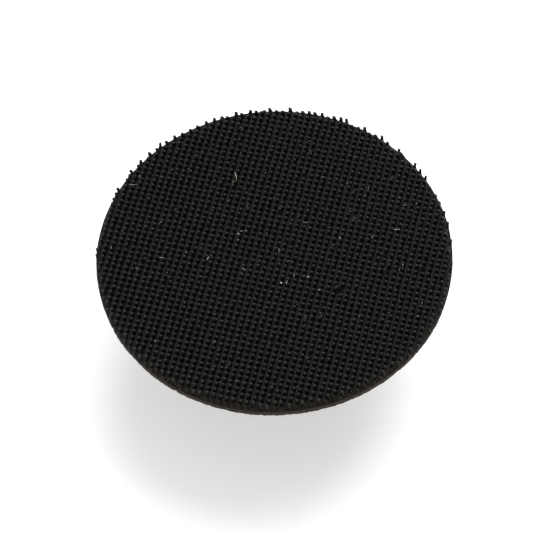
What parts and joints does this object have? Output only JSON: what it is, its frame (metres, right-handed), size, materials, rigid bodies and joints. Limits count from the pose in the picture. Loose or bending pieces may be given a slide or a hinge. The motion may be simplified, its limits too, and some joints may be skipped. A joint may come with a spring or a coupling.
{
  "type": "orbital sander backing pad",
  "caption": "Round hook-faced backing pad of an orbital sander: foam cushion, riveted backing plate, steel hub and threaded stud.",
  "frame": {"origin": "centre of the hub's seat, where the sander's spindle bears", "axes": "+Z along the spindle axis, from the seat towards the hook face; the stud points along -Z"},
  "size_m": [0.076, 0.076, 0.034],
  "materials": {
    "black_nylon_hooks": "satin",
    "brown_adhesive": "satin",
    "charcoal_foam": "matte",
    "amber_adhesive": "satin",
    "glass_laminate": "satin",
    "zinc_plated_steel": "satin",
    "rivet_zinc": "satin"
  },
  "bodies": {
    "backing": {"foam_cushion": "charcoal_foam", "plate_adhesive": "amber_adhesive", "clamp_plate": "zinc_plated_steel", "backing_plate": "glass_laminate", "hub_flange": "zinc_plated_steel", "threaded_stud": "zinc_plated_steel", "rivet_1": "rivet_zinc", "rivet_2": "rivet_zinc", "rivet_3": "rivet_zinc", "rivet_4": "rivet_zinc", "rivet_5": "rivet_zinc", "rivet_6": "rivet_zinc"},
    "face": {"hook_sheet": "black_nylon_hooks", "face_adhesive": "brown_adhesive"}
  },
  "joints": [
    {"name": "face_press", "type": "slide", "parent": "backing", "child": "face", "axis": [0, 0, -1], "range_m": [0, 0.003], "stiffness_N_per_m": 20000, "deforming": ["foam_cushion"]}
  ]
}
